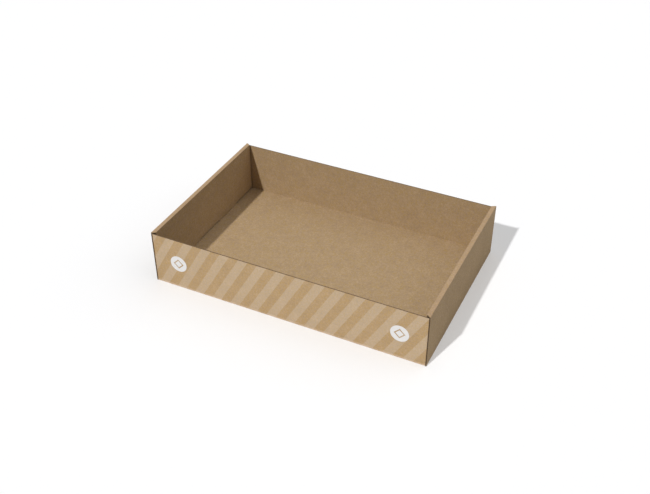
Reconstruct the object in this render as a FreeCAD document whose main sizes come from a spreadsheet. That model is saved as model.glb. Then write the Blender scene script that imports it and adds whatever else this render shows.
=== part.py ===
import FreeCAD, Part
import os

# Cardboard tray box, folded from one die-cut sheet of fine corrugated board.
# The base carries a single front and back panel. Each side is a rolled-over double wall:
# an outer ply rises, a narrow rim bridges the top, and an inner ply comes down again and locks
# two tabs into slots in the base. A corner flap of each end panel lies between the two plies.
#
# Frame, in millimetres: the origin is the centre of the footprint on the ground, +X runs along
# the length, +Y from the front panel to the back panel, and +Z up.
# The right wall and the front end are made first, and their mirror images complete the tray.

# The driving sizes: alias, millimetres, what the size is.
SIZES = (
    ("length", 300.0, "outside, over the two double walls"),
    ("depth", 196.4, "outside, over the cut ends of the double walls"),
    ("height", 61.0, "outside, from the ground to the rim"),
    ("board", 1.0, "thickness of the sheet"),
    ("fold_round", 0.5, "radius of the outer corner of every fold"),
    ("outer_gap", 0.1, "air beside a corner flap and its fold, up to the outer ply"),
    ("inner_gap", 1.5, "air beside a corner flap, up to the inner ply"),
    ("end_setback", 0.2, "how far an end panel stands in from the cut ends of the walls"),
    ("end_drop", 2.0, "from the rim down to the top edge of an end panel"),
    ("flap_reach", 46.0, "length of a corner flap beyond its fold"),
    ("flap_taper", 7.0, "how much a flap narrows, at its top and bottom edge"),
    ("flap_clearance", 0.8, "a flap's edges inside the end panel's top edge and the base"),
    ("tab_width", 38.8, "width of a locking tab, along the wall"),
    ("tab_spacing", 78.0, "between the centres of the two tabs of a wall"),
    ("tab_lift", 0.3, "height of a tab's tip above the ground"),
    ("slot_clearance", 0.2, "around a tab in its slot"),
    ("ply_lift", 1.5, "gap between the base and the inner ply, beside the tabs"),
    ("rim_end_outer", 0.2, "how far the rim stops short of the wall's end, at the outer ply"),
    ("rim_end_inner", 2.8, "how far the rim and the inner ply stop short, at the inner ply"),
)

# A fold's rounding can't reach past the board's thickness: the largest share of it.
LARGEST_ROUND = 0.95

# Lengths that follow from the driving sizes, written as expressions on the sheet.
FOLD_ROUND = f"min(sizes.fold_round; {LARGEST_ROUND} * sizes.board)"
WALL = "(3 * sizes.board + sizes.outer_gap + sizes.inner_gap)"
SIDE_X = "(sizes.length / 2)"
SIDE_IN_X = f"({SIDE_X} - sizes.board)"
FLAP_X = f"({SIDE_IN_X} - sizes.outer_gap)"
FLAP_IN_X = f"({FLAP_X} - sizes.board)"
INNER_X = f"({SIDE_X} - {WALL})"
SIDE_Y = "(sizes.depth / 2)"
END_Y = f"({SIDE_Y} - sizes.end_setback)"
END_IN_Y = f"({END_Y} - sizes.board)"
RIM_UNDER = "(sizes.height - sizes.board)"
END_TOP = "(sizes.height - sizes.end_drop)"
PLY_HALF = f"({SIDE_Y} - sizes.rim_end_inner)"
PLY_FOOT = "(sizes.board + sizes.ply_lift)"
FLAP_FOOT = "(sizes.board + sizes.flap_clearance)"
FLAP_TOP = f"({END_TOP} - sizes.flap_clearance)"
TAB_CENTRES = ("-sizes.tab_spacing / 2", "sizes.tab_spacing / 2")

# The directions that the folds and mirrors use.
RIGHT = FreeCAD.Vector(1, 0, 0)
LEFT = FreeCAD.Vector(-1, 0, 0)
BACKWARD = FreeCAD.Vector(0, 1, 0)
FRONTWARD = FreeCAD.Vector(0, -1, 0)
UP = FreeCAD.Vector(0, 0, 1)
DOWN = FreeCAD.Vector(0, 0, -1)

QUARTER_TURN = 90.0


def make_sheet(doc):
    """The spreadsheet that holds the driving sizes."""
    sheet = doc.addObject("Spreadsheet::Sheet", "sizes")
    for row, (alias, value, meaning) in enumerate(SIZES, start=1):
        sheet.set(f"A{row}", alias)
        sheet.set(f"B{row}", str(value))
        sheet.set(f"C{row}", meaning)
        sheet.setAlias(f"B{row}", alias)
    doc.recompute()


def bind(item, sizes):
    """Bind the named sizes of an object to expressions."""
    for size, expression in sizes.items():
        item.setExpression(size, expression)


def put_at(item, place):
    """Bind the place of an object to three expressions."""
    for axis, expression in zip("xyz", place):
        item.setExpression(f".Placement.Base.{axis}", expression)


def block(doc, name, place, sizes, turn=FreeCAD.Rotation()):
    """A box from its low corner, with its three sizes, all as expressions."""
    item = doc.addObject("Part::Box", name)
    item.Placement.Rotation = turn
    put_at(item, place)
    bind(item, dict(zip(("Length", "Width", "Height"), sizes)))
    return item


def wedge(doc, name, place, along, start, finish, turn=FreeCAD.Rotation()):
    """A wedge that runs along its own Y, from the start rectangle to the finish rectangle.

    Each rectangle is a pair of ranges, in the wedge's own X and Z.
    """
    item = doc.addObject("Part::Wedge", name)
    item.Placement.Rotation = turn
    put_at(item, place)
    bind(item, {
        "Ymin": "0",
        "Ymax": along,
        "Xmin": start[0][0],
        "Xmax": start[0][1],
        "Zmin": start[1][0],
        "Zmax": start[1][1],
        "X2min": finish[0][0],
        "X2max": finish[0][1],
        "Z2min": finish[1][0],
        "Z2max": finish[1][1],
    })
    return item


def fuse(doc, name, items, refine=True):
    """Join the stretches of one sheet, and merge the faces that lie in one plane."""
    item = doc.addObject("Part::MultiFuse", name)
    item.Shapes = items
    item.Refine = refine
    return item


def cut(doc, name, base, tool):
    """Take one object away from another."""
    item = doc.addObject("Part::Cut", name)
    item.Base = base
    item.Tool = tool
    item.Refine = True
    return item


def mirror(doc, name, source, normal):
    """The mirror image through the middle of the tray."""
    item = doc.addObject("Part::Mirroring", name)
    item.Source = source
    item.Normal = normal
    return item


def fold(doc, name, corner, first, second, span):
    """A quarter turn of board about its inner corner, with a rounded outer corner.

    The board turns from direction first to direction second, and the fold runs from the given
    corner along first x second for the given span.
    """
    turn = FreeCAD.Rotation(first, second, first.cross(second), "XYZ")
    short = f"(sizes.board - {FOLD_ROUND})"
    outward = first + second
    rounding = doc.addObject("Part::Cylinder", f"{name}_rounding")
    rounding.Angle = QUARTER_TURN
    rounding.Placement.Rotation = turn
    put_at(rounding, [f"{start} + {step} * {short}" for start, step in zip(corner, outward)])
    bind(rounding, {"Radius": FOLD_ROUND, "Height": span})
    return fuse(doc, name, [
        block(doc, f"{name}_first", corner, (short, "sizes.board", span), turn),
        block(doc, f"{name}_second", corner, ("sizes.board", short, span), turn),
        rounding,
    ])


def tab_slots(doc):
    """The openings in the base that the right-hand tabs pass through."""
    clear = "sizes.slot_clearance"
    return fuse(doc, "right_slots", [
        block(
            doc, f"slot_{number}",
            (f"{INNER_X} - {clear}", f"{centre} - sizes.tab_width / 2 - {clear}", "-sizes.board"),
            (f"sizes.board + 2 * {clear}", f"sizes.tab_width + 2 * {clear}", "3 * sizes.board"),
        )
        for number, centre in enumerate(TAB_CENTRES, start=1)
    ])


def base_panel(doc):
    """The flat of the base, out to where its four folds begin, with its four slots."""
    flat = block(
        doc, "base_flat",
        (f"-{SIDE_IN_X}", f"-{END_IN_Y}", "0"),
        (f"2 * {SIDE_IN_X}", f"2 * {END_IN_Y}", "sizes.board"),
    )
    right_slots = tab_slots(doc)
    left_slots = mirror(doc, "left_slots", right_slots, RIGHT)
    return cut(doc, "base", flat, fuse(doc, "slots", [right_slots, left_slots]))


def rim(doc):
    """The right rim: a narrow strip between its two folds, with slanted ends."""
    outer_fold = fold(
        doc, "rim_outer_fold", (SIDE_IN_X, f"-{SIDE_Y}", RIM_UNDER), UP, RIGHT, "sizes.depth"
    )
    strip = block(
        doc, "rim_strip",
        (f"{INNER_X} + sizes.board", f"-{SIDE_Y}", RIM_UNDER),
        (f"{WALL} - 2 * sizes.board", "sizes.depth", "sizes.board"),
    )
    inner_fold = fold(
        doc, "rim_inner_fold",
        (f"{INNER_X} + sizes.board", f"-{SIDE_Y}", RIM_UNDER), LEFT, UP, "sizes.depth",
    )
    cut_height = ("0", "2 * sizes.board")
    back_cutter = wedge(
        doc, "rim_cut_back", (SIDE_X, SIDE_Y, RIM_UNDER), WALL,
        (("-sizes.rim_end_outer", "sizes.board"), cut_height),
        (("-sizes.rim_end_inner", "sizes.board"), cut_height),
        FreeCAD.Rotation(UP, QUARTER_TURN),
    )
    front_cutter = mirror(doc, "rim_cut_front", back_cutter, BACKWARD)
    return cut(
        doc, "rim",
        fuse(doc, "rim_uncut", [outer_fold, strip, inner_fold]),
        fuse(doc, "rim_cutters", [back_cutter, front_cutter]),
    )


def locking_tabs(doc):
    """The tabs at the foot of the right inner ply, which pass down through the base."""
    return [
        block(
            doc, f"tab_{number}",
            (INNER_X, f"{centre} - sizes.tab_width / 2", "sizes.tab_lift"),
            ("sizes.board", "sizes.tab_width", f"{PLY_FOOT} - sizes.tab_lift"),
        )
        for number, centre in enumerate(TAB_CENTRES, start=1)
    ]


def right_wall(doc):
    """The right double wall: bottom fold, outer ply, rim, inner ply and tabs."""
    bottom_fold = fold(
        doc, "side_fold", (SIDE_IN_X, f"-{SIDE_Y}", "sizes.board"), RIGHT, DOWN, "sizes.depth"
    )
    outer_ply = block(
        doc, "outer_ply",
        (SIDE_IN_X, f"-{SIDE_Y}", "sizes.board"),
        ("sizes.board", "sizes.depth", f"{RIM_UNDER} - sizes.board"),
    )
    inner_ply = block(
        doc, "inner_ply",
        (INNER_X, f"-{PLY_HALF}", PLY_FOOT),
        ("sizes.board", f"2 * {PLY_HALF}", f"{RIM_UNDER} - {PLY_FOOT}"),
    )
    stretches = [bottom_fold, outer_ply, rim(doc), inner_ply]
    return fuse(doc, "right_wall", stretches + locking_tabs(doc))


def front_corner(doc, rise):
    """The right-hand fold of the front panel and the flap behind it, tapered to its tip."""
    corner_fold = fold(
        doc, "corner_fold", (FLAP_IN_X, f"-{END_IN_Y}", "sizes.board"), FRONTWARD, RIGHT, rise
    )
    thickness = ("0", "sizes.board")
    flap = wedge(
        doc, "corner_flap", (FLAP_IN_X, f"-{END_IN_Y}", "0"), "sizes.flap_reach",
        (thickness, (FLAP_FOOT, FLAP_TOP)),
        (thickness, (f"{FLAP_FOOT} + sizes.flap_taper", f"{FLAP_TOP} - sizes.flap_taper")),
    )
    return fuse(doc, "front_right_corner", [corner_fold, flap])


def front_end(doc):
    """The front panel with its bottom fold and its two corners."""
    rise = f"{END_TOP} - sizes.board"
    bottom_fold = fold(
        doc, "end_fold",
        (f"-{FLAP_X}", f"-{END_IN_Y}", "sizes.board"), FRONTWARD, DOWN, f"2 * {FLAP_X}",
    )
    flat = block(
        doc, "front_panel",
        (f"-{FLAP_IN_X}", f"-{END_Y}", "sizes.board"),
        (f"2 * {FLAP_IN_X}", "sizes.board", rise),
    )
    right_corner = front_corner(doc, rise)
    left_corner = mirror(doc, "front_left_corner", right_corner, RIGHT)
    return fuse(doc, "front_end", [bottom_fold, flat, right_corner, left_corner])


def build_tray(doc):
    """The whole folded sheet as one solid: its five stretches are already merged inside."""
    wall = right_wall(doc)
    front = front_end(doc)
    stretches = [
        base_panel(doc),
        wall,
        mirror(doc, "left_wall", wall, RIGHT),
        front,
        mirror(doc, "back_end", front, BACKWARD),
    ]
    tray = fuse(doc, "tray", stretches, refine=False)
    tray.Label = "tray"
    return tray


def check_document(doc):
    """Stop if any object failed to rebuild."""
    for item in doc.Objects:
        for state in ("Invalid", "Error"):
            if state in item.State:
                raise RuntimeError(f"{item.Name} is in state {item.State}")


def check_solid(item):
    """Stop unless the object is one valid solid."""
    shape = item.Shape
    if shape.isNull() or not shape.isValid():
        raise RuntimeError(f"{item.Label} has no valid shape")
    if len(shape.Solids) != 1:
        raise RuntimeError(f"{item.Label} has {len(shape.Solids)} solids and is one folded sheet")


def main():
    doc = FreeCAD.newDocument("tray_box")
    make_sheet(doc)
    tray = build_tray(doc)
    doc.recompute()
    check_document(doc)
    check_solid(tray)
    os.makedirs("parts", exist_ok=True)
    tray.Shape.exportStep(f"parts/{tray.Label}.step")
    box = tray.Shape.BoundBox
    print(f"{tray.Label}: {tray.Shape.Volume:.1f} mm3, {len(tray.Shape.Faces)} faces")
    print(f"x {box.XMin:.3f} to {box.XMax:.3f}, y {box.YMin:.3f} to {box.YMax:.3f}, "
          f"z {box.ZMin:.3f} to {box.ZMax:.3f}")


main()
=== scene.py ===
import math
from typing import NamedTuple

import bmesh
import bpy
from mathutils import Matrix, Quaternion, Vector


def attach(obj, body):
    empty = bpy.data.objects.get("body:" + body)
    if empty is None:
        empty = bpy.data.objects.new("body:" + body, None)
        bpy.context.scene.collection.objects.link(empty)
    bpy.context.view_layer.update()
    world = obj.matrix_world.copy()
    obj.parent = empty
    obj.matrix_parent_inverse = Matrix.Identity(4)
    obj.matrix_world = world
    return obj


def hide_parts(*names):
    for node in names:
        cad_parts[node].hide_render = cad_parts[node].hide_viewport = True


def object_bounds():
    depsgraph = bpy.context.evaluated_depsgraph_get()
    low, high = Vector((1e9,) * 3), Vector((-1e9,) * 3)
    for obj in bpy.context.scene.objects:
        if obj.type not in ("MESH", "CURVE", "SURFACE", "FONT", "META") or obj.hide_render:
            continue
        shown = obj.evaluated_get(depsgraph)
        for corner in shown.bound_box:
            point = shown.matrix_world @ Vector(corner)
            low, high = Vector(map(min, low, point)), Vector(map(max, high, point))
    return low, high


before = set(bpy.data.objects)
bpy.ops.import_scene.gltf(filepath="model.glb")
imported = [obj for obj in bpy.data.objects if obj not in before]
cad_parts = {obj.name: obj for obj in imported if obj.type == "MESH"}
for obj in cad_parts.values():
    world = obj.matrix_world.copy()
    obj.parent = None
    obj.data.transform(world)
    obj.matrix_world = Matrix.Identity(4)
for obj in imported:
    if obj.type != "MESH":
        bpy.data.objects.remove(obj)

# The cardboard tray box, folded from one sheet of fine corrugated board.
# The sheet is modelled as a whole: liners, rounded folds, and cut edges that show their flutes.
# Blender units are metres. +X runs along the length, +Y from front to back, +Z up.

MM = 0.001

# Overall sizes, read from the bounds of the imported model.
CAD_LOW, CAD_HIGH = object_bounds()
SIDE_X = CAD_HIGH.x
SIDE_Y = CAD_HIGH.y
RIM_Z = CAD_HIGH.z

# The sheet's own sizes, as in the part's construction.
BOARD = 1.0 * MM
FOLD_ROUND = 0.5 * MM
OUTER_GAP = 0.1 * MM
INNER_GAP = 1.5 * MM
END_SETBACK = 0.2 * MM
END_DROP = 2.0 * MM
FLAP_REACH = 46.0 * MM
FLAP_TAPER = 7.0 * MM
FLAP_CLEARANCE = 0.8 * MM
TAB_WIDTH = 38.8 * MM
TAB_SPACING = 78.0 * MM
TAB_LIFT = 0.3 * MM
SLOT_CLEARANCE = 0.2 * MM
PLY_LIFT = 1.5 * MM
RIM_END_OUTER = 0.2 * MM
RIM_END_INNER = 2.8 * MM

# The corrugation that shows at the cut edges: one wave and its steps, the thickness of the
# liners and of the waved medium, what keeps them apart, and how deep the hollows go.
FLUTE_PITCH = 2.4 * MM
FLUTE_STEPS = 14
LINER = 0.15 * MM
MEDIUM = 0.13 * MM
MEDIUM_PLAY = 0.02 * MM
FLUTE_DEPTH = 2.0 * MM

# Places that follow.
WALL = 3 * BOARD + OUTER_GAP + INNER_GAP
SIDE_IN_X = SIDE_X - BOARD
FLAP_X = SIDE_IN_X - OUTER_GAP
FLAP_IN_X = FLAP_X - BOARD
INNER_X = SIDE_X - WALL
INNER_BACK_X = INNER_X + BOARD
END_Y = SIDE_Y - END_SETBACK
END_IN_Y = END_Y - BOARD
RIM_UNDER = RIM_Z - BOARD
END_TOP = RIM_Z - END_DROP
PLY_HALF = SIDE_Y - RIM_END_INNER
PLY_FOOT = BOARD + PLY_LIFT
FLAP_FOOT = BOARD + FLAP_CLEARANCE
FLAP_TOP = END_TOP - FLAP_CLEARANCE
SHORT = BOARD - FOLD_ROUND

TAB_NEAR = TAB_SPACING / 2 - TAB_WIDTH / 2
TAB_FAR = TAB_SPACING / 2 + TAB_WIDTH / 2
SLOT_NEAR = TAB_NEAR - SLOT_CLEARANCE
SLOT_FAR = TAB_FAR + SLOT_CLEARANCE
SLOT_LOW_X = INNER_X - SLOT_CLEARANCE
SLOT_HIGH_X = INNER_BACK_X + SLOT_CLEARANCE

# How finely the sheet is divided, and where its shading has a crease.
ROUND_STEPS = 7
PANEL_STEP = 15.0 * MM
WELD = 0.001 * MM
SHARP_ANGLE = math.radians(30.0)

# The finishes, in the order of the material slots.
PLAIN, PRINTED, CUT = range(3)


def even(start, finish, step):
    """Evenly spaced values from start to finish, about a step apart."""
    count = max(1, round(abs(finish - start) / step))
    return [start + (finish - start) * i / count for i in range(count)] + [finish]


def finer(values, step):
    """The same values with even ones between them, about a step apart."""
    line = [values[0]]
    for a, b in zip(values, values[1:]):
        line += even(a, b, step)[1:]
    return line


def fold_line(corner, first, second):
    """The outer line of a fold about its inner corner, turning from first to second."""
    corner, first, second = Vector(corner), Vector(first), Vector(second)
    centre = corner + (first + second) * SHORT
    line = [corner + first * BOARD]
    for step in range(ROUND_STEPS + 1):
        angle = math.pi / 2 * step / ROUND_STEPS
        line.append(centre + (first * math.cos(angle) + second * math.sin(angle)) * FOLD_ROUND)
    line.append(corner + second * BOARD)
    return line


# Across a fluted edge the points go from one liner to the other, numbered from 0 to 5.
# Liner, medium and liner lie between these pairs of them, and the hollows between those.
PAPERS = ((0, 1), (2, 3), (4, 5))
HOLLOWS = ((1, 2), (3, 4))


class Sheet:
    """The faces of the folded sheet, which are welded at the end.

    Points are given for the front right quarter, and the signs carry them to each quarter.
    """

    def __init__(self):
        self.mesh = bmesh.new()
        self.signs = (1, 1)

    def face(self, points, finish):
        """One face, or none where too few of its points lie apart."""
        places = []
        for x, y, z in points:
            place = Vector((x * self.signs[0], y * self.signs[1], z))
            if all((place - other).length > WELD for other in places):
                places.append(place)
        if len(places) > 2:
            verts = [self.mesh.verts.new(place) for place in places]
            self.mesh.faces.new(verts).material_index = finish

    def grid(self, rows, finish):
        """Faces between rows of points."""
        for near, far in zip(rows, rows[1:]):
            for a, b, c, d in zip(near, near[1:], far[1:], far):
                self.face((a, b, c, d), finish)

    def band(self, coarse, fine, along, finish):
        """Faces between a coarse line and a fine one, which has the coarse line's stations.

        Both lines run along one axis: 0 for X, or 2 for Z.
        """
        for a, b in zip(coarse, coarse[1:]):
            low, high = sorted((a[along], b[along]))
            between = [p for p in fine if low - WELD < p[along] < high + WELD]
            between.sort(key=lambda p: abs(p[along] - b[along]))
            self.face([a, b] + between, finish)

    def cut(self, outer, inner):
        """A plain cut edge between lines on the two liners."""
        self.grid([outer, inner], CUT)

    def cut_through_base(self, places):
        """A plain cut edge through the thickness of the base, along those places."""
        self.cut([(x, y, 0.0) for x, y in places], [(x, y, BOARD) for x, y in places])

    def fluted_edge(self, outer, inner, inward, close):
        """A cut edge that shows the flutes, whose hollows reach inward.

        They are closed at the ends listed in close: 0 is the first and -1 the last. Returns the
        points across the edge at both ends.
        """
        stations = flute_stations(outer, inner, inward)
        for (front, deep), (next_front, next_deep) in zip(stations, stations[1:]):
            for left, right in PAPERS:
                self.face((front[left], front[right], next_front[right], next_front[left]), CUT)
            for left, right in HOLLOWS:
                self.face((front[left], deep[left], next_deep[left], next_front[left]), CUT)
                self.face((deep[left], deep[right], next_deep[right], next_deep[left]), CUT)
                self.face((deep[right], front[right], next_front[right], next_deep[right]), CUT)
        for end in close:
            front, deep = stations[end]
            for left, right in HOLLOWS:
                self.face((front[left], deep[left], deep[right], front[right]), CUT)
        return stations[0][0], stations[-1][0]


def flute_stations(outer, inner, inward):
    """The points across a fluted edge at each of its places, in front and deep in the hollows."""
    wave = (BOARD - 2 * LINER - MEDIUM - MEDIUM_PLAY) / 2
    stations = []
    travelled = 0.0
    previous = Vector(outer[0])
    for a, b in zip(outer, inner):
        a, b = Vector(a), Vector(b)
        travelled += (a - previous).length
        previous = a
        across = (b - a).normalized()
        middle = BOARD / 2 + wave * math.cos(2 * math.pi * travelled / FLUTE_PITCH)
        levels = (0.0, LINER, middle - MEDIUM / 2, middle + MEDIUM / 2, BOARD - LINER, BOARD)
        front = [a + across * level for level in levels]
        deep = [p + Vector(inward) * FLUTE_DEPTH for p in front]
        stations.append((front, deep))
    return stations


def rim_end(x):
    """Where the slanted cut at the front end of the right rim lies, at that x."""
    share = (SIDE_X - x) / WALL
    return -SIDE_Y + RIM_END_OUTER + share * (RIM_END_INNER - RIM_END_OUTER)


# Lines along the length, shared by the base and the front panel, in the right half.
X_LINES = even(0.0, SLOT_LOW_X, PANEL_STEP) + [SLOT_HIGH_X, FLAP_IN_X]
X_FOLD_LINES = X_LINES + [FLAP_IN_X + SHORT, FLAP_X]
X_BASE_LINES = X_FOLD_LINES + [SIDE_IN_X]
# Heights shared by the front panel, the corner fold and the flap.
Z_FLAP_LINES = even(FLAP_FOOT, FLAP_TOP, PANEL_STEP)
Z_LINES = [BOARD] + Z_FLAP_LINES + [END_TOP]
# Lines from the front end of the wall to the middle of the tray.
Y_LINES = [
    -SIDE_Y, rim_end(SIDE_X), rim_end(SIDE_IN_X), -END_IN_Y, -PLY_HALF,
    (-PLY_HALF - SLOT_FAR) / 2, -SLOT_FAR, -TAB_FAR, -TAB_SPACING / 2,
    -TAB_NEAR, -SLOT_NEAR, -SLOT_NEAR / 2, 0.0,
]
Y_BASE_LINES = Y_LINES[Y_LINES.index(-END_IN_Y):]

# The wall's section: its bottom fold, its rim, and the heights of its two plies.
SIDE_FOLD = fold_line((SIDE_IN_X, BOARD), (0, -1), (1, 0))
RIM_OUTER = fold_line((SIDE_IN_X, RIM_UNDER), (1, 0), (0, 1))
RIM_INNER = fold_line((INNER_BACK_X, RIM_UNDER), (0, 1), (-1, 0))
OUTER_ZS = even(BOARD, RIM_UNDER, PANEL_STEP)
INNER_ZS = even(RIM_UNDER, PLY_FOOT, PANEL_STEP)


def row(x, z, end):
    """Points along the wall at one place of its section, none of them before the end."""
    return [(x, max(y, end), z) for y in Y_LINES]


def in_slot(x, y):
    """Whether that point of the base is in the open slot."""
    return SLOT_LOW_X < x < SLOT_HIGH_X and -SLOT_FAR < y < -SLOT_NEAR


def build_base(sheet):
    """The base, with the slot that the tab passes through."""
    for z in (0.0, BOARD):
        for x1, x2 in zip(X_BASE_LINES, X_BASE_LINES[1:]):
            for y1, y2 in zip(Y_BASE_LINES, Y_BASE_LINES[1:]):
                if not in_slot((x1 + x2) / 2, (y1 + y2) / 2):
                    sheet.face(((x1, y1, z), (x2, y1, z), (x2, y2, z), (x1, y2, z)), PLAIN)
    slot_ys = [y for y in Y_LINES if -SLOT_FAR <= y <= -SLOT_NEAR]
    for x in (SLOT_LOW_X, SLOT_HIGH_X):
        sheet.cut_through_base([(x, y) for y in slot_ys])
    for y in (-SLOT_FAR, -SLOT_NEAR):
        sheet.cut_through_base([(x, y) for x in (SLOT_LOW_X, SLOT_HIGH_X)])
    sheet.cut_through_base([(x, -END_IN_Y) for x in (FLAP_X, SIDE_IN_X)])


def build_end_panel(sheet, finish):
    """The end panel and its bottom fold. Returns the points across the end of its top edge."""
    fold = fold_line((-END_IN_Y, BOARD), (0, -1), (-1, 0))
    sheet.grid([[(x, y, z) for x in X_FOLD_LINES] for y, z in fold], finish)
    sheet.grid([[(x, -END_Y, z) for x in X_LINES] for z in Z_LINES[:-1]], finish)
    sheet.grid([[(x, -END_IN_Y, z) for x in X_LINES] for z in Z_LINES[:-1]], PLAIN)
    fine_xs = finer(X_LINES, FLUTE_PITCH / FLUTE_STEPS)
    top_outer = [(x, -END_Y, END_TOP) for x in fine_xs]
    top_inner = [(x, -END_IN_Y, END_TOP) for x in fine_xs]
    sheet.band([(x, -END_Y, Z_LINES[-2]) for x in X_LINES], top_outer, 0, finish)
    sheet.band([(x, -END_IN_Y, Z_LINES[-2]) for x in X_LINES], top_inner, 0, PLAIN)
    _, last = sheet.fluted_edge(top_outer, top_inner, (0, 0, -1), close=(-1,))
    fold_end = [(FLAP_X, y, z) for y, z in fold]
    sheet.face(fold_end + [(FLAP_X, -END_IN_Y - SHORT, BOARD), (FLAP_X, -END_IN_Y, BOARD)], CUT)
    return last


def build_corner(sheet, finish, panel_end):
    """The corner fold beside the end panel, down to its foot and up to its top edge."""
    corner_line = fold_line((FLAP_IN_X, -END_IN_Y), (0, -1), (1, 0))
    sheet.grid([[(x, y, z) for x, y in corner_line] for z in Z_LINES], finish)
    ledge = [(x, y, BOARD) for x, y in corner_line[1:-1]]
    sheet.face(ledge + [(FLAP_X, -END_Y, BOARD)], CUT)
    top = [(x, y, END_TOP) for x, y in reversed(corner_line)]
    sheet.face(list(panel_end) + top[:-1], CUT)
    foot = [(x, -END_IN_Y, BOARD) for x in X_FOLD_LINES if x >= FLAP_IN_X]
    sheet.face(foot + [(x, -END_IN_Y, FLAP_FOOT) for x in (FLAP_X, FLAP_IN_X)], CUT)
    head = [(x, -END_IN_Y, FLAP_TOP) for x in (FLAP_IN_X, FLAP_X)]
    sheet.face(head + [(x, -END_IN_Y, END_TOP) for x in (FLAP_X, FLAP_IN_X)], CUT)


def build_flap(sheet):
    """The tapered flap behind the corner fold, inside the wall."""
    tip_y = -END_IN_Y + FLAP_REACH
    middle = (FLAP_FOOT + FLAP_TOP) / 2
    shrink = 1 - 2 * FLAP_TAPER / (FLAP_TOP - FLAP_FOOT)
    sides = []
    for x in (FLAP_X, FLAP_IN_X):
        root = [(x, -END_IN_Y, z) for z in Z_FLAP_LINES]
        tip = [(x, tip_y, middle + (z - middle) * shrink) for z in Z_FLAP_LINES]
        sheet.grid([root, tip], PLAIN)
        sides.append((root, tip))
    (root_out, tip_out), (root_in, tip_in) = sides
    sheet.cut(tip_out, tip_in)
    for end in (0, -1):
        sheet.cut([root_out[end], tip_out[end]], [root_in[end], tip_in[end]])


def build_wall_liners(sheet):
    """The liners of the wall's bottom fold, its rim and its inner ply.

    The last two are the underside of the rim and the back of the inner ply, inside the wall.
    """
    sheet.grid([row(x, z, -SIDE_Y) for x, z in SIDE_FOLD], PLAIN)
    sheet.grid([row(x, z, rim_end(x)) for x, z in RIM_OUTER + RIM_INNER], PLAIN)
    sheet.grid([row(INNER_X, z, -PLY_HALF) for z in INNER_ZS], PLAIN)
    sheet.grid([row(x, RIM_UNDER, rim_end(x)) for x in (SIDE_IN_X, INNER_BACK_X)], PLAIN)
    sheet.grid([row(INNER_BACK_X, z, -PLY_HALF) for z in INNER_ZS], PLAIN)


def build_outer_ply(sheet):
    """Both liners of the outer ply, and its fluted front edge.

    Returns the points across the foot of that edge, and those across its top.
    """
    fine_zs = finer(OUTER_ZS, FLUTE_PITCH / FLUTE_STEPS)
    edges = []
    for x in (SIDE_X, SIDE_IN_X):
        rows = [row(x, z, -SIDE_Y) for z in OUTER_ZS]
        sheet.grid([points[1:] for points in rows], PLAIN)
        edge = [(x, -SIDE_Y, z) for z in fine_zs]
        sheet.band([points[1] for points in rows], edge, 2, PLAIN)
        edges.append(edge)
    return sheet.fluted_edge(edges[0], edges[1], (0, 1, 0), close=(0, -1))


def cut_inner_ply(sheet, places):
    """A plain cut edge between the two liners of the inner ply, along those places."""
    sheet.cut([(INNER_X, y, z) for y, z in places], [(INNER_BACK_X, y, z) for y, z in places])


def build_front_end(sheet, ply_top):
    """The front end of the rim, over the outer ply's top points, and of the inner ply.

    The rim's slanted end is pressed shut, so it shows liner rather than flutes.
    """
    hidden_start = (SIDE_IN_X, rim_end(SIDE_IN_X), RIM_UNDER)
    hidden_finish = (INNER_BACK_X, rim_end(INNER_BACK_X), RIM_UNDER)
    visible = [(x, rim_end(x), z) for x, z in RIM_OUTER + RIM_INNER]
    ledge = [(SIDE_IN_X, rim_end(SIDE_X), RIM_UNDER), hidden_start, visible[0]]
    sheet.face(list(ply_top) + ledge, CUT)
    turn = len(RIM_OUTER)
    for a, b in zip(visible[:turn], visible[1:turn]):
        sheet.face((a, b, hidden_start), PLAIN)
    sheet.face((visible[turn - 1], visible[turn], hidden_finish, hidden_start), PLAIN)
    for a, b in zip(visible[turn:], visible[turn + 1:]):
        sheet.face((a, b, hidden_finish), PLAIN)
    ply_corner = (INNER_BACK_X, -PLY_HALF, RIM_UNDER)
    sheet.face((visible[-1], ply_corner, hidden_finish), PLAIN)
    cut_inner_ply(sheet, [(-PLY_HALF, z) for z in INNER_ZS])


def build_foot(sheet):
    """The foot of the inner ply, with the tab below it."""
    tab_ys = [y for y in Y_LINES if -TAB_FAR <= y <= -TAB_NEAR]
    foot_ys = [y for y in Y_LINES if -PLY_HALF <= y]
    for y1, y2 in zip(foot_ys, foot_ys[1:]):
        if y1 not in tab_ys or y2 not in tab_ys:
            cut_inner_ply(sheet, [(y1, PLY_FOOT), (y2, PLY_FOOT)])
    for x in (INNER_X, INNER_BACK_X):
        sheet.grid([[(x, y, z) for y in tab_ys] for z in (PLY_FOOT, TAB_LIFT)], PLAIN)
    cut_inner_ply(sheet, [(y, TAB_LIFT) for y in tab_ys])
    for y in (-TAB_FAR, -TAB_NEAR):
        cut_inner_ply(sheet, [(y, PLY_FOOT), (y, TAB_LIFT)])


def build_wall(sheet):
    """The double wall, from its bottom fold over the rim and down the inner ply to the tab."""
    build_wall_liners(sheet)
    ply_foot, ply_top = build_outer_ply(sheet)
    sheet.face([(x, -SIDE_Y, z) for x, z in SIDE_FOLD[:-1]] + list(ply_foot), CUT)
    build_front_end(sheet, ply_top)
    beyond_base = [y for y in Y_LINES if y <= -END_IN_Y]
    sheet.cut_through_base([(SIDE_IN_X, y) for y in beyond_base])
    build_foot(sheet)


def shade_smooth(mesh):
    """Smooth shading, with a crease where two faces meet at a sharp angle."""
    for face in mesh.faces:
        face.smooth = True
    for edge in mesh.edges:
        if len(edge.link_faces) == 2:
            edge.smooth = edge.calc_face_angle() < SHARP_ANGLE


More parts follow.
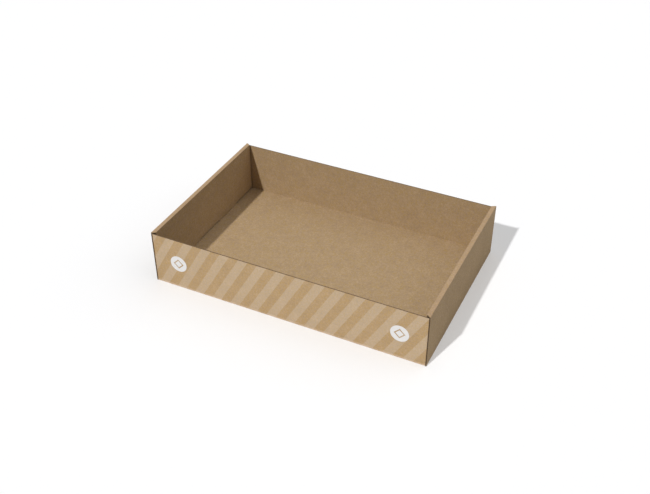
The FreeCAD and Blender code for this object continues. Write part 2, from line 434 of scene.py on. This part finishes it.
def build_tray():
    """The whole folded sheet as one closed mesh, built quarter by quarter."""
    sheet = Sheet()
    for across in (1, -1):
        for along in (1, -1):
            sheet.signs = (across, along)
            finish = PRINTED if along == 1 else PLAIN
            build_base(sheet)
            panel_end = build_end_panel(sheet, finish)
            build_corner(sheet, finish, panel_end)
            build_flap(sheet)
            build_wall(sheet)
    mesh = sheet.mesh
    bmesh.ops.remove_doubles(mesh, verts=mesh.verts, dist=WELD)
    bmesh.ops.recalc_face_normals(mesh, faces=mesh.faces)
    shade_smooth(mesh)
    return new_object("folded_tray", mesh)


def new_object(name, mesh):
    """A new object in the scene, made of that bmesh, which it uses up."""
    data = bpy.data.meshes.new(name)
    mesh.to_mesh(data)
    mesh.free()
    made = bpy.data.objects.new(name, data)
    bpy.context.scene.collection.objects.link(made)
    return made


class Noise(NamedTuple):
    """A noise pattern: about how many features it has to a metre, its detail and roughness.

    Each axis has its own scale as well, and the pattern is longer where that is under 1.
    """

    scale: float
    detail: float
    roughness: float
    axis_scale: tuple = (1.0, 1.0, 1.0)


# Colours are linear. The front liner, FACE, is a little paler than the rest of the kraft.
KRAFT_DARK = (0.325, 0.226, 0.134, 1.0)
KRAFT_LIGHT = (0.455, 0.323, 0.194, 1.0)
KRAFT_FLECK = (0.385, 0.262, 0.114, 1.0)
FACE_DARK = (0.414, 0.282, 0.156, 1.0)
FACE_LIGHT = (0.564, 0.391, 0.225, 1.0)
FACE_FLECK = (0.493, 0.323, 0.133, 1.0)
HAIR_PALE = (0.78, 0.64, 0.46, 1.0)
HAIR_DARK = (0.17, 0.105, 0.055, 1.0)
# The cut edge's colours are painted dark, as shade for the flute hollows.
EDGE_DARK = (0.14, 0.092, 0.052, 1.0)
EDGE_LIGHT = (0.23, 0.156, 0.09, 1.0)
INK_PALE = (0.855, 0.800, 0.725, 1.0)
INK_WHITE = (0.843, 0.833, 0.825, 1.0)

# The middle of a noise's values, and of a stripe's turn.
MIDDLE = 0.5

# The patterns of the paper. Flecks and hairs fade in over a range of their noise.
CLOUDS = Noise(70.0, 3.0, 0.6)
GRAIN = Noise(480.0, 4.0, 0.7, (1.0, 0.7, 0.8))
GRAIN_WEIGHT = 2.2
FIBRES = Noise(1500.0, 2.0, 0.5, (1.0, 0.25, 0.6))
FIBRE_WEIGHT = 0.9
FLECKS = Noise(560.0, 2.0, 0.6)
FLECK_RANGE = (0.46, 0.66)
HAIRS = Noise(5200.0, 3.0, 0.6, (1.0, 0.11, 0.35))
PALE_HAIR_RANGE = (0.56, 0.70)
DARK_HAIR_RANGE = (0.42, 0.28)
HAIR_COVER = 0.30
EDGE_GRAIN = Noise(1400.0, 4.0, 0.7)
EDGE_RANGE = (0.3, 0.7)

# The paper's surface.
RELIEF_STRENGTH = 0.25
RELIEF_HEIGHT = 0.12 * MM
PAPER_ROUGHNESS = 0.88
PAPER_SPECULAR = 0.25

# A painted highlight low along the outside of the bottom folds, and a paler, redder tone on the top
# of the rims. On the folds the painted highlight comes in from FOLD_HIGHLIGHT_TOP above the ground,
# and is full from FOLD_HIGHLIGHT_FULL down.
FOLD_HIGHLIGHT_COLOUR = (0.88, 0.67, 0.51, 1.0)
FOLD_HIGHLIGHT_TOP = 3.2 * MM
FOLD_HIGHLIGHT_FULL = 1.0 * MM
FOLD_HIGHLIGHT_COVER = 0.42
FOLD_HIGHLIGHT_PATCHES = Noise(260.0, 3.0, 0.6)
PATCH_RANGE = (0.28, 0.60)
RIM_TOP_COLOUR = (0.74, 0.46, 0.34, 1.0)
RIM_TOP_COVER = 0.10

# The pale stripes. They lean along X by STRIPE_LEAN of their height. Half their width, their
# soft edge and their ragged edge are shares of the pitch.
STRIPE_PITCH = 20.88 * MM
STRIPE_LEAN = 0.578
STRIPE_PALE_CENTRE = 5.55 * MM
STRIPE_HALF = 0.25
STRIPE_SOFTNESS = 0.02
STRIPE_RAGGED = 0.012
INK_COVER = 0.16
RAGGED_EDGE = Noise(900.0, 2.0, 0.5)

# The two round marks, MARK_REACH to each side of a line MARK_SHIFT right of the middle. Each
# holds a bare diamond outline, and DIAMOND_LINE is half that line's width along X or Z.
MARK_REACH = 121.0 * MM
MARK_SHIFT = 0.5 * MM
MARK_HEIGHT = 30.2 * MM
MARK_RADIUS = 9.45 * MM
MARK_SOFTNESS = 0.15 * MM
MARK_RAGGED = 0.3 * MM
MARK_COVER = 0.97
DIAMOND_REACH = 5.0 * MM
DIAMOND_LINE = 0.85 * MM


class Nodes:
    """A short way to write the node tree of a new material."""

    def __init__(self, name):
        self.material = bpy.data.materials.new(name)
        self.material.use_nodes = True
        self.tree = self.material.node_tree
        self.shader = self.tree.nodes["Principled BSDF"]

    def add(self, kind, settings=None, **inputs):
        """A new node with those settings. An underscore in an input's name is a space."""
        made = self.tree.nodes.new(kind)
        for name, value in (settings or {}).items():
            setattr(made, name, value)
        for name, value in inputs.items():
            self.give(made.inputs[name.replace("_", " ")], value)
        return made

    def give(self, socket, value):
        """Links the socket to another node's output, or sets it to a plain value."""
        if isinstance(value, bpy.types.NodeSocket):
            self.tree.links.new(value, socket)
        else:
            socket.default_value = value

    def math(self, operation, *values):
        """The result of a math node with its values in order."""
        made = self.tree.nodes.new("ShaderNodeMath")
        made.operation = operation
        for socket, value in zip(made.inputs, values):
            self.give(socket, value)
        return made.outputs[0]

    def plus(self, first, second):
        """The first value and the second, added."""
        return self.math("ADD", first, second)

    def minus(self, first, second):
        """The first value less the second."""
        return self.math("SUBTRACT", first, second)

    def times(self, first, second):
        """The first value by the second."""
        return self.math("MULTIPLY", first, second)

    def absolute(self, value):
        """The value without its sign."""
        return self.math("ABSOLUTE", value)

    def mix(self, factor, first, second):
        """A mix of two colours, which are inputs 6 and 7 and output 2 of that node."""
        made = self.tree.nodes.new("ShaderNodeMix")
        made.data_type = "RGBA"
        self.give(made.inputs[0], factor)
        self.give(made.inputs[6], first)
        self.give(made.inputs[7], second)
        return made.outputs[2]

    def ramp(self, value, low, high):
        """From 0 at low to 1 at high, with smooth ends."""
        made = self.add(
            "ShaderNodeMapRange", {"interpolation_type": "SMOOTHSTEP"},
            Value=value, From_Min=low, From_Max=high,
        )
        return made.outputs["Result"]

    def place(self, axis_scale=(1.0, 1.0, 1.0)):
        """The point on the object, scaled along the axes."""
        coordinates = self.add("ShaderNodeTexCoord").outputs["Object"]
        return self.add("ShaderNodeMapping", Vector=coordinates, Scale=axis_scale).outputs["Vector"]

    def place_parts(self):
        """The point on the object as separate X, Y and Z values."""
        return self.add("ShaderNodeSeparateXYZ", Vector=self.place()).outputs

    def noise(self, pattern):
        """The noise's value at each point of the object."""
        made = self.add(
            "ShaderNodeTexNoise", Vector=self.place(pattern.axis_scale), Scale=pattern.scale,
            Detail=pattern.detail, Roughness=pattern.roughness,
        )
        return made.outputs["Fac"]


def kraft_colour(nodes, dark, light, fleck):
    """Brown paper: soft clouds, a fibre grain, golden flecks, and fine pale and dark hairs.

    Returns the colour, and the relief of its grain, fibres and hairs.
    """
    clouds = nodes.noise(CLOUDS)
    grain = nodes.noise(GRAIN)
    fibres = nodes.noise(FIBRES)
    hairs = nodes.noise(HAIRS)

    tone = nodes.minus(clouds, MIDDLE)
    tone = nodes.plus(tone, nodes.times(nodes.minus(grain, MIDDLE), GRAIN_WEIGHT))
    tone = nodes.plus(tone, nodes.times(nodes.minus(fibres, MIDDLE), FIBRE_WEIGHT))
    colour = nodes.mix(nodes.plus(tone, MIDDLE), dark, light)
    colour = nodes.mix(nodes.ramp(nodes.noise(FLECKS), *FLECK_RANGE), colour, fleck)

    pale_hairs = nodes.times(nodes.ramp(hairs, *PALE_HAIR_RANGE), HAIR_COVER)
    dark_hairs = nodes.times(nodes.ramp(hairs, *DARK_HAIR_RANGE), HAIR_COVER)
    colour = nodes.mix(pale_hairs, colour, HAIR_PALE)
    colour = nodes.mix(dark_hairs, colour, HAIR_DARK)
    return colour, nodes.plus(nodes.plus(grain, fibres), hairs)


def fold_highlight_and_rim_tone(nodes, colour):
    """The colour with a painted highlight low on the outer bottom folds, and paler, redder rim
    tops.
    """
    place = nodes.place_parts()
    over_x = nodes.minus(nodes.absolute(place["X"]), SIDE_IN_X)
    over_y = nodes.minus(nodes.absolute(place["Y"]), END_IN_Y)
    outside = nodes.ramp(nodes.math("MAXIMUM", over_x, over_y), 0.0, FOLD_ROUND)
    low = nodes.ramp(place["Z"], FOLD_HIGHLIGHT_TOP, FOLD_HIGHLIGHT_FULL)
    patches = nodes.ramp(nodes.noise(FOLD_HIGHLIGHT_PATCHES), *PATCH_RANGE)
    # A painted highlight in patches outside the bottom folds, strongest near the ground.
    highlighted = nodes.times(nodes.times(outside, low), patches)
    colour = nodes.mix(nodes.times(highlighted, FOLD_HIGHLIGHT_COVER), colour, FOLD_HIGHLIGHT_COLOUR)
    # A paler, redder tone on the top of the rims.
    high = nodes.ramp(place["Z"], RIM_Z - FOLD_ROUND, RIM_Z)
    return nodes.mix(nodes.times(high, RIM_TOP_COVER), colour, RIM_TOP_COLOUR)


def paper_surface(nodes, colour, relief):
    """The finished material: a matt paper surface with its fibre relief."""
    bump = nodes.add(
        "ShaderNodeBump", Strength=RELIEF_STRENGTH, Distance=RELIEF_HEIGHT, Height=relief
    )
    shader = nodes.shader
    nodes.give(shader.inputs["Base Color"], colour)
    nodes.give(shader.inputs["Normal"], bump.outputs["Normal"])
    shader.inputs["Roughness"].default_value = PAPER_ROUGHNESS
    shader.inputs["Specular IOR Level"].default_value = PAPER_SPECULAR
    return nodes.material


def plain_kraft():
    """The unprinted liner."""
    nodes = Nodes("kraft_liner")
    colour, relief = kraft_colour(nodes, KRAFT_DARK, KRAFT_LIGHT, KRAFT_FLECK)
    return paper_surface(nodes, fold_highlight_and_rim_tone(nodes, colour), relief)


def with_stripes(nodes, colour, place, ragged):
    """The colour with slanted pale stripes."""
    lean = nodes.minus(place["X"], nodes.times(place["Z"], STRIPE_LEAN))
    turns = nodes.math("DIVIDE", nodes.minus(lean, STRIPE_PALE_CENTRE), STRIPE_PITCH)
    turns = nodes.plus(turns, nodes.times(ragged, STRIPE_RAGGED))
    share = nodes.minus(nodes.math("FRACT", nodes.plus(turns, MIDDLE)), MIDDLE)
    soft = STRIPE_SOFTNESS / 2
    pale = nodes.ramp(nodes.absolute(share), STRIPE_HALF + soft, STRIPE_HALF - soft)
    return nodes.mix(nodes.times(pale, INK_COVER), colour, INK_PALE)


def with_marks(nodes, colour, place, ragged):
    """The colour with two white round marks, each with a plain diamond outline left bare."""
    aside = nodes.absolute(nodes.minus(place["X"], MARK_SHIFT))
    over = nodes.absolute(nodes.minus(aside, MARK_REACH))
    up = nodes.absolute(nodes.minus(place["Z"], MARK_HEIGHT))
    squares = nodes.plus(nodes.times(over, over), nodes.times(up, up))
    radius = nodes.plus(nodes.math("SQRT", squares), nodes.times(ragged, MARK_RAGGED))
    disc = nodes.ramp(radius, MARK_RADIUS + MARK_SOFTNESS, MARK_RADIUS - MARK_SOFTNESS)
    off_line = nodes.absolute(nodes.minus(nodes.plus(over, up), DIAMOND_REACH))
    inked = nodes.ramp(off_line, DIAMOND_LINE - MARK_SOFTNESS, DIAMOND_LINE + MARK_SOFTNESS)
    white = nodes.times(nodes.times(disc, inked), MARK_COVER)
    return nodes.mix(white, colour, INK_WHITE)


def printed_kraft():
    """The front liner, with its stripes and its two round marks."""
    nodes = Nodes("printed_kraft_liner")
    colour, relief = kraft_colour(nodes, FACE_DARK, FACE_LIGHT, FACE_FLECK)
    place = nodes.place_parts()
    ragged = nodes.minus(nodes.noise(RAGGED_EDGE), MIDDLE)
    colour = with_stripes(nodes, colour, place, ragged)
    colour = with_marks(nodes, colour, place, ragged)
    return paper_surface(nodes, fold_highlight_and_rim_tone(nodes, colour), relief)


def cut_edge():
    """Raw cut board, painted darker than the liner as shade for its flute hollows."""
    nodes = Nodes("cut_board_edge")
    grain = nodes.noise(EDGE_GRAIN)
    tone = nodes.ramp(grain, *EDGE_RANGE)
    return paper_surface(nodes, nodes.mix(tone, EDGE_DARK, EDGE_LIGHT), grain)


# The stage. The floor has one colour for the light that it throws back, and a paler one with
# a little glow where it is looked at, so that it turns white around the object's shadow.
WHITE = (1.0, 1.0, 1.0, 1.0)
GROUND_COLOUR = (0.62, 0.62, 0.62, 1.0)
GROUND_SEEN = (0.975, 0.977, 0.985, 1.0)
GROUND_GLOW = 0.20
GROUND_HALF = 6.0

# The lights: an even sky, a key light from the front left, and a wide soft fill from above.
# SKY_SEEN is the white that the camera sees past the floor.
SKY_LIGHT = 0.183
SKY_SEEN = 1.0
KEY_POWER = 2.43
KEY_ANGLE = math.radians(2.0)
KEY_TRAVEL = Vector((15.2, 57.15, -59.7))
FILL_POWER = 1.09
FILL_ANGLE = math.radians(80.0)
FILL_TRAVEL = Vector((-0.4, -0.4, -0.9))

# The camera. Its lens and sensor are in millimetres.
CAMERA_PLACE = Vector((0.3358, -0.7001, 0.6075))
CAMERA_AIM = Vector((0.0011, -0.0072, 0.0300))
CAMERA_LENS = 51.09
CAMERA_SENSOR = 36.0
CAMERA_ROLL = math.radians(-0.09)


def seen_directly(tree):
    """Whether a ray comes from the camera, or from it by way of something shiny or clear."""
    path = tree.nodes.new("ShaderNodeLightPath")
    total = path.outputs["Is Camera Ray"]
    for name in ("Is Glossy Ray", "Is Transmission Ray"):
        more = tree.nodes.new("ShaderNodeMath")
        more.operation = "MAXIMUM"
        tree.links.new(total, more.inputs[0])
        tree.links.new(path.outputs[name], more.inputs[1])
        total = more.outputs[0]
    return total


def mix_shaders(tree, factor, first, second):
    """A mix of two shader nodes. The factor is a number or another node's output."""
    mix = tree.nodes.new("ShaderNodeMixShader")
    if isinstance(factor, bpy.types.NodeSocket):
        tree.links.new(factor, mix.inputs[0])
    else:
        mix.inputs[0].default_value = factor
    tree.links.new(first.outputs[0], mix.inputs[1])
    tree.links.new(second.outputs[0], mix.inputs[2])
    return mix


def ground_material():
    """A pale floor that keeps its shadows and is a little brighter where it is looked at."""
    material = bpy.data.materials.new("pale_ground")
    material.use_nodes = True
    tree = material.node_tree
    tree.nodes.clear()
    lit = tree.nodes.new("ShaderNodeBsdfDiffuse")
    lit.inputs["Color"].default_value = GROUND_COLOUR
    seen = tree.nodes.new("ShaderNodeBsdfDiffuse")
    seen.inputs["Color"].default_value = GROUND_SEEN
    glow = tree.nodes.new("ShaderNodeEmission")
    glow.inputs["Color"].default_value = WHITE
    bright = mix_shaders(tree, GROUND_GLOW, seen, glow)
    surface = mix_shaders(tree, seen_directly(tree), lit, bright)
    output = tree.nodes.new("ShaderNodeOutputMaterial")
    tree.links.new(surface.outputs[0], output.inputs["Surface"])
    return material


def make_ground():
    """A large plain pale floor."""
    mesh = bmesh.new()
    corners = ((-1, -1), (1, -1), (1, 1), (-1, 1))
    places = [(x * GROUND_HALF, y * GROUND_HALF, 0.0) for x, y in corners]
    mesh.faces.new([mesh.verts.new(place) for place in places])
    ground = new_object("ground", mesh)
    ground.data.materials.append(ground_material())


def make_world():
    """An even soft light, with a plain white background where the camera sees past the floor."""
    world = bpy.data.worlds.new("studio")
    bpy.context.scene.world = world
    world.use_nodes = True
    tree = world.node_tree
    tree.nodes.clear()
    light = tree.nodes.new("ShaderNodeBackground")
    light.inputs["Strength"].default_value = SKY_LIGHT
    seen = tree.nodes.new("ShaderNodeBackground")
    seen.inputs["Strength"].default_value = SKY_SEEN
    for background in (light, seen):
        background.inputs["Color"].default_value = WHITE
    surface = mix_shaders(tree, seen_directly(tree), light, seen)
    output = tree.nodes.new("ShaderNodeOutputWorld")
    tree.links.new(surface.outputs[0], output.inputs["Surface"])


def make_light(name, power, angle, travel):
    """A distant light of that apparent width, which travels that way."""
    data = bpy.data.lights.new(name, "SUN")
    data.energy = power
    data.angle = angle
    light = bpy.data.objects.new(name, data)
    light.rotation_mode = "QUATERNION"
    light.rotation_quaternion = travel.to_track_quat("-Z", "Y")
    bpy.context.scene.collection.objects.link(light)


def make_camera():
    """The camera at the photograph's viewing angle."""
    data = bpy.data.cameras.new("camera")
    data.lens = CAMERA_LENS
    data.sensor_width = CAMERA_SENSOR
    camera = bpy.data.objects.new("camera", data)
    camera.location = CAMERA_PLACE
    camera.rotation_mode = "QUATERNION"
    level = (CAMERA_AIM - CAMERA_PLACE).to_track_quat("-Z", "Y")
    camera.rotation_quaternion = level @ Quaternion((0.0, 0.0, 1.0), CAMERA_ROLL)
    bpy.context.scene.collection.objects.link(camera)
    bpy.context.scene.camera = camera


tray = build_tray()
for material in (plain_kraft(), printed_kraft(), cut_edge()):
    tray.data.materials.append(material)
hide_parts("tray")
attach(tray, "root")

make_ground()
make_world()
make_light("key_light", KEY_POWER, KEY_ANGLE, KEY_TRAVEL)
make_light("fill_light", FILL_POWER, FILL_ANGLE, FILL_TRAVEL)
make_camera()
bpy.context.scene.view_settings.view_transform = "Standard"
